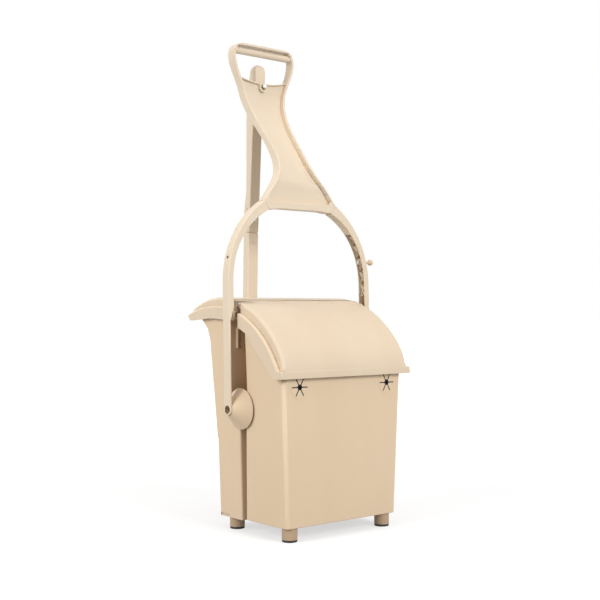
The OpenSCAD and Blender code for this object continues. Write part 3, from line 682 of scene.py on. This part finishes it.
class BIN_OT_hardware(bpy.types.Operator):
    """Finishes the screws, pins, bolts, washers and discs that keep their shape, and the hidden nodes"""

    bl_idname = "bin.hardware"
    bl_label = "Hardware"

    def execute(self, context):
        nodes = frame["nodes"]
        finishes = {
            plain_steel: ["bucket_screws", "arm_joint_screws", "bracket_screws",
                          "front_hinge_pin", "rear_hinge_pin", "foot_screws"],
            dark_steel: ["pivot_bolts"],
            bright_steel: ["lock_stud", "knob_nut"],
            black_rubber: ["pivot_washers", "insert_rubbers"],
            moulded_plastic: [name for name, node in nodes.items() if node.hide_render],
        }
        for make, names in finishes.items():
            for name in names:
                nodes[name].data.materials.clear()
                nodes[name].data.materials.append(make())
        return {"FINISHED"}


# ---------- stage ----------
def soft_lamp(name, power, size, place, aim):
    lamp = bpy.data.lights.new(name, "AREA")
    lamp.energy = power
    lamp.shape = "DISK"
    lamp.size = size
    made = bpy.data.objects.new(name, lamp)
    made.location = place
    made.rotation_mode = "QUATERNION"
    made.rotation_quaternion = (Vector(aim) - Vector(place)).to_track_quat("-Z", "Y")
    bpy.context.scene.collection.objects.link(made)


def glow_by_distance(nodes, links, near, far):
    """Glow of the floor, which grows from the bin outwards to hide the floor's far edge."""
    place = nodes.new("ShaderNodeTexCoord")
    reach = nodes.new("ShaderNodeVectorMath")
    reach.operation = "LENGTH"
    links.new(place.outputs["Object"], reach.inputs[0])
    blend = nodes.new("ShaderNodeMapRange")
    blend.interpolation_type = "SMOOTHSTEP"
    span = {"From Min": NEAR_FLOOR, "From Max": FAR_FLOOR, "To Min": near, "To Max": far}
    for name, value in span.items():
        blend.inputs[name].default_value = value
    links.new(reach.outputs["Value"], blend.inputs["Value"])
    return blend.outputs["Result"]


def math_node(nodes, operation):
    made = nodes.new("ShaderNodeMath")
    made.operation = operation
    return made


def white_where_seen(nodes, links, out, lit, glow, glow_field=None):
    """Adds white glow to a shader for the camera, reflections and see-through rays only."""
    path = nodes.new("ShaderNodeLightPath")
    seen = math_node(nodes, "MAXIMUM")
    links.new(path.outputs["Is Camera Ray"], seen.inputs[0])
    links.new(path.outputs["Is Glossy Ray"], seen.inputs[1])
    either = math_node(nodes, "MAXIMUM")
    links.new(seen.outputs[0], either.inputs[0])
    links.new(path.outputs["Is Transmission Ray"], either.inputs[1])
    strength = math_node(nodes, "MULTIPLY")
    strength.inputs[1].default_value = glow
    if glow_field:
        links.new(glow_field, strength.inputs[1])
    links.new(either.outputs[0], strength.inputs[0])
    white = nodes.new("ShaderNodeEmission")
    links.new(strength.outputs[0], white.inputs["Strength"])
    both = nodes.new("ShaderNodeAddShader")
    links.new(lit, both.inputs[0])
    links.new(white.outputs[0], both.inputs[1])
    links.new(both.outputs[0], out.inputs["Surface"])


def lay_floor(scene, glow):
    """The plain pale floor, which keeps the bin's shadow."""
    mesh = bpy.data.meshes.new("studio_floor")
    ground = bmesh.new()
    bmesh.ops.create_grid(ground, x_segments=1, y_segments=1, size=FLOOR_REACH)
    ground.to_mesh(mesh)
    ground.free()
    floor = bpy.data.objects.new("studio_floor", mesh)
    scene.collection.objects.link(floor)
    paint = bpy.data.materials.new("studio_white")
    paint.use_nodes = True
    nodes, links = paint.node_tree.nodes, paint.node_tree.links
    nodes.clear()
    out = nodes.new("ShaderNodeOutputMaterial")
    matt = nodes.new("ShaderNodeBsdfDiffuse")
    matt.inputs["Color"].default_value = FLOOR_COLOUR
    field = glow_by_distance(nodes, links, glow, FAR_GLOW)
    white_where_seen(nodes, links, out, matt.outputs[0], glow, field)
    mesh.materials.append(paint)


def light_all_round(scene, fill):
    """The even light from all round, which the camera sees as white."""
    world = bpy.data.worlds.new("studio_surround")
    world.use_nodes = True
    scene.world = world
    nodes, links = world.node_tree.nodes, world.node_tree.links
    nodes.clear()
    out = nodes.new("ShaderNodeOutputWorld")
    even = nodes.new("ShaderNodeBackground")
    even.inputs["Color"].default_value = (1, 1, 1, 1)
    even.inputs["Strength"].default_value = fill
    white_where_seen(nodes, links, out, even.outputs[0], 1 - fill)


def set_camera(scene, look):
    """The camera at the photograph's place and heading."""
    lens = bpy.data.cameras.new("photo_camera")
    lens.sensor_width = SENSOR_WIDTH
    lens.lens = look.focal_px / FRAME_PIXELS * lens.sensor_width
    camera = bpy.data.objects.new("photo_camera", lens)
    camera.location = look.eye
    back = Vector((
        math.sin(look.turn) * math.cos(look.tilt),
        -math.cos(look.turn) * math.cos(look.tilt),
        math.sin(look.tilt)))
    camera.rotation_mode = "QUATERNION"
    camera.rotation_quaternion = (-back).to_track_quat("-Z", "Y")
    scene.collection.objects.link(camera)
    scene.camera = camera


class BIN_OT_stage(bpy.types.Operator):
    """Sets the pale floor, the even surround, the soft lamps and the camera"""

    bl_idname = "bin.stage"
    bl_label = "Studio"

    def execute(self, context):
        look = studio()
        scene = context.scene
        scene.view_settings.view_transform = "Standard"
        lay_floor(scene, look.floor_glow)
        light_all_round(scene, look.fill)
        for name, power, size, place, aim in LAMPS:
            soft_lamp(name, getattr(look, power), size, place, aim)
        set_camera(scene, look)
        return {"FINISHED"}


# ---------- panel in the sidebar, start ----------
OPERATORS = (BIN_OT_buckets, BIN_OT_lids, BIN_OT_arms, BIN_OT_panel, BIN_OT_post, BIN_OT_small_parts,
             BIN_OT_slits, BIN_OT_hardware, BIN_OT_stage)
GROUPS = {"bin_finish": BinFinish, "bin_edges": BinEdges, "bin_studio": BinStudio}


class BIN_PT_tools(bpy.types.Panel):
    """Lists the sizes, the colours and one button for each group of pieces"""

    bl_label = "Long-Handled Bin"
    bl_idname = "BIN_PT_tools"
    bl_space_type = "VIEW_3D"
    bl_region_type = "UI"
    bl_category = "Bin"

    def draw(self, context):
        layout = self.layout
        for group in (finish(), edges(), studio()):
            box = layout.box()
            for name in group.__annotations__:
                box.prop(group, name)
        for operator in OPERATORS:
            layout.operator(operator.bl_idname)


def register():
    for made in (*GROUPS.values(), *OPERATORS, BIN_PT_tools):
        bpy.utils.register_class(made)
    for name, group in GROUPS.items():
        setattr(bpy.types.Scene, name, bpy.props.PointerProperty(type=group))


def unregister():
    for name in GROUPS:
        delattr(bpy.types.Scene, name)
    for made in reversed((*GROUPS.values(), *OPERATORS, BIN_PT_tools)):
        bpy.utils.unregister_class(made)


def main():
    register()
    bpy.ops.bin.buckets()
    bpy.ops.bin.lids()
    bpy.ops.bin.arms()
    bpy.ops.bin.panel()
    bpy.ops.bin.post()
    bpy.ops.bin.small_parts()
    bpy.ops.bin.slits()
    bpy.ops.bin.hardware()
    bpy.ops.bin.stage()


if __name__ == "__main__":
    main()
